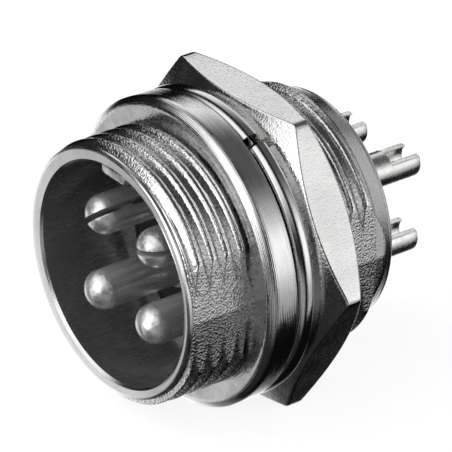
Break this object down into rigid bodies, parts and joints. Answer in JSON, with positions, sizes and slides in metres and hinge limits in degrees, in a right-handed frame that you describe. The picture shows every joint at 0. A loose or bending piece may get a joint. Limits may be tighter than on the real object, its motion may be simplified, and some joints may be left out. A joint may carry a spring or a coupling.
{
  "type": "threaded circular panel connector",
  "caption": "Round metal panel connector with a threaded coupling sleeve, flange, lock washer, hex nut, keyed socket, thick slotted pins and solder cups.",
  "frame": {"origin": "on the axis, in the rear face of the flange, which seats on the panel", "axes": "-Y points out of the mating socket along the axis, +Y to the solder cups, +Z through the key, +X across it"},
  "size_m": [0.0214, 0.0199, 0.0186],
  "materials": {
    "shell_nickel": "nickel plate over a zinc casting, rough on the threads, polished in the socket",
    "insulator_black": "black moulded insulator",
    "contact_silver": "turned brass with a silver plate",
    "spring_steel": "bright spring steel",
    "washer_nickel": "polished nickel plate over spring steel",
    "nut_nickel": "nickel plate, satin facets and bright chamfers"
  },
  "bodies": {
    "connector": {"shell": "shell_nickel", "front_insulator": "insulator_black", "rear_insulator": "insulator_black", "contact_1": "contact_silver", "contact_2": "contact_silver", "contact_3": "contact_silver", "contact_4": "contact_silver", "snap_ring": "spring_steel"},
    "washer": {"lock_washer": "washer_nickel"},
    "nut": {"hex_nut": "nut_nickel"}
  },
  "joints": [
    {"name": "nut_travel", "type": "slide", "parent": "connector", "child": "washer", "axis": [0, 1, 0], "range_m": [0, 0.005]},
    {"name": "nut_turn", "type": "hinge", "parent": "washer", "child": "nut", "pos_m": [0, 0.00307, 0], "axis": [0, 1, 0], "range_deg": [0, 1800]}
  ],
  "couplings": [
    {"joint": "nut_travel", "follows": "nut_turn", "m_per_rad": 0.00015915}
  ]
}
